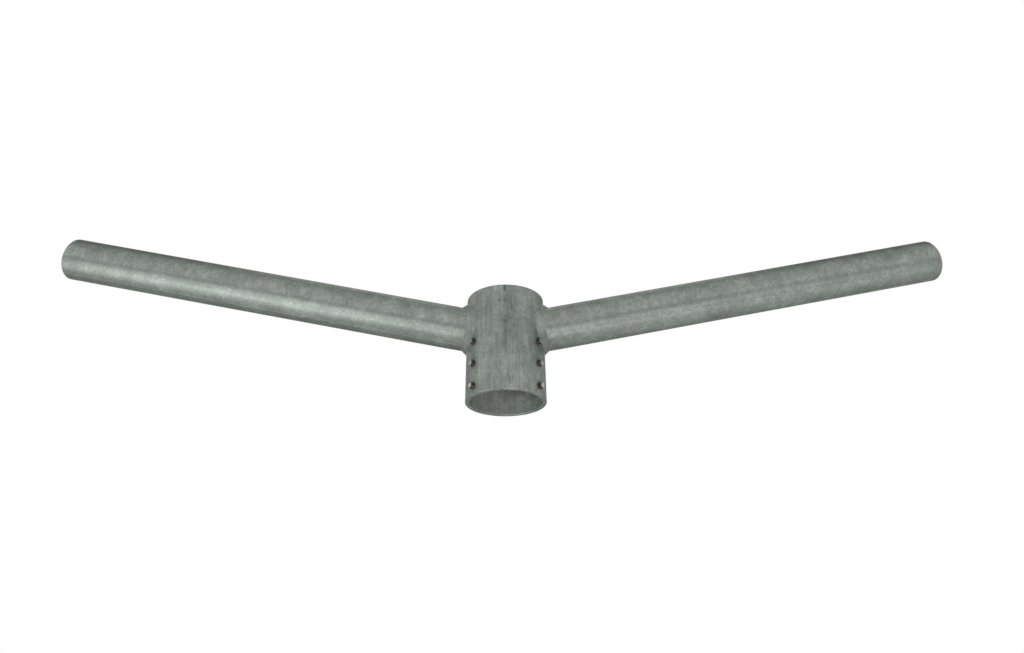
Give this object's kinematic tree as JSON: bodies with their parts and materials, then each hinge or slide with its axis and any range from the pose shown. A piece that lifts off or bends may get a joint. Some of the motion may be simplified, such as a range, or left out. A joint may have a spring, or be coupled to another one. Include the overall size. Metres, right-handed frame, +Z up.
{
  "type": "steel pole crossarm",
  "caption": "Galvanised steel twin-arm crossarm: an open socket tube clamped over a pole top by set screws, with a rising round arm welded to each side.",
  "frame": {"origin": "centre of the socket's lower rim, where the pole enters", "axes": "+Z up along the socket's axis; the arms lie in the XZ plane, the right arm towards +X; -Y is the front"},
  "size_m": [1.2788, 0.108, 0.2506],
  "materials": {
    "galvanised_tube": "hot-dip galvanised steel tube, dull grey zinc with a faint blotchy spangle",
    "galvanised_weld": "fillet weld bead, hot-dip galvanised after welding",
    "set_screw": "plain stainless steel grub screw"
  },
  "bodies": {
    "root": {"pole_socket": "galvanised_tube", "left_arm": "galvanised_tube", "right_arm": "galvanised_tube", "left_weld": "galvanised_weld", "right_weld": "galvanised_weld", "left_set_screw_1": "set_screw", "left_set_screw_2": "set_screw", "left_set_screw_3": "set_screw", "right_set_screw_1": "set_screw", "right_set_screw_2": "set_screw", "right_set_screw_3": "set_screw"}
  },
  "joints": []
}
